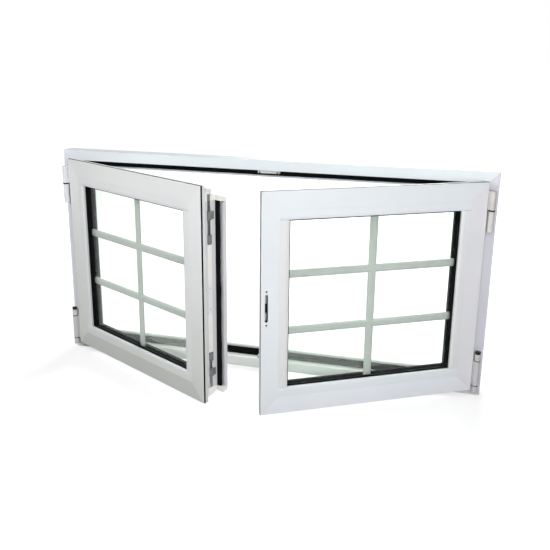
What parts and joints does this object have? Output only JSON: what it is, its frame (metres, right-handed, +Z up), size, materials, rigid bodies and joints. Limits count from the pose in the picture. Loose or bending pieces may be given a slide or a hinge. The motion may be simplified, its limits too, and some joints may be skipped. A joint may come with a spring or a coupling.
{
  "type": "aluminium casement window",
  "caption": "White aluminium casement window with double-glazed leaves swung open on side hinges, glazing bars between the panes and a meeting mullion.",
  "frame": {"origin": "middle of the sill's underside, half-way through the frame's depth", "axes": "+X along the window to the viewer's right, +Y outdoors through the wall, +Z up; the leaves open towards -Y"},
  "size_m": [1.2, 0.3645, 0.6],
  "materials": {
    "white_coat": "satin",
    "black_rubber": "matt",
    "clear_glass": "polished",
    "spacer_aluminium": "satin",
    "white_bars": "satin",
    "cream_hardware": "satin",
    "grey_steel": "brushed",
    "black_plastic": "matt",
    "grey_plastic": "satin"
  },
  "bodies": {
    "root": {"frame_sill": "white_coat", "frame_head": "white_coat", "frame_left_jamb": "white_coat", "frame_right_jamb": "white_coat", "frame_gasket": "black_rubber", "shoot_bolt_keeps": "grey_plastic", "left_leaf_top_rail": "white_coat", "left_leaf_bottom_rail": "white_coat", "left_leaf_hinge_stile": "white_coat", "left_leaf_lock_stile": "white_coat", "left_leaf_lip_gasket": "black_rubber", "left_leaf_level_beads": "white_coat", "left_leaf_upright_beads": "white_coat", "left_leaf_glazing_gaskets": "black_rubber", "left_leaf_inner_glass": "clear_glass", "left_leaf_outer_glass": "clear_glass", "left_leaf_spacer": "spacer_aluminium", "left_leaf_glazing_bars": "white_bars", "right_leaf_top_rail": "white_coat", "right_leaf_bottom_rail": "white_coat", "right_leaf_hinge_stile": "white_coat", "right_leaf_lock_stile": "white_coat", "right_leaf_lip_gasket": "black_rubber", "right_leaf_level_beads": "white_coat", "right_leaf_upright_beads": "white_coat", "right_leaf_glazing_gaskets": "black_rubber", "right_leaf_inner_glass": "clear_glass", "right_leaf_outer_glass": "clear_glass", "right_leaf_spacer": "spacer_aluminium", "right_leaf_glazing_bars": "white_bars", "right_leaf_lock_rods": "grey_steel", "meeting_mullion": "white_coat", "mullion_end_caps": "cream_hardware", "mullion_gasket": "black_rubber", "mullion_lock_gear": "grey_steel", "mullion_bolt_plates": "cream_hardware", "mullion_lever_plate": "white_coat", "left_hinge_frame_knuckles": "cream_hardware", "left_hinge_leaf_knuckles": "cream_hardware", "left_hinge_pins": "grey_steel", "left_hinge_bushes": "black_plastic", "right_hinge_frame_knuckles": "cream_hardware", "right_hinge_leaf_knuckles": "cream_hardware", "right_hinge_pins": "grey_steel", "right_hinge_bushes": "black_plastic"}
  },
  "joints": []
}
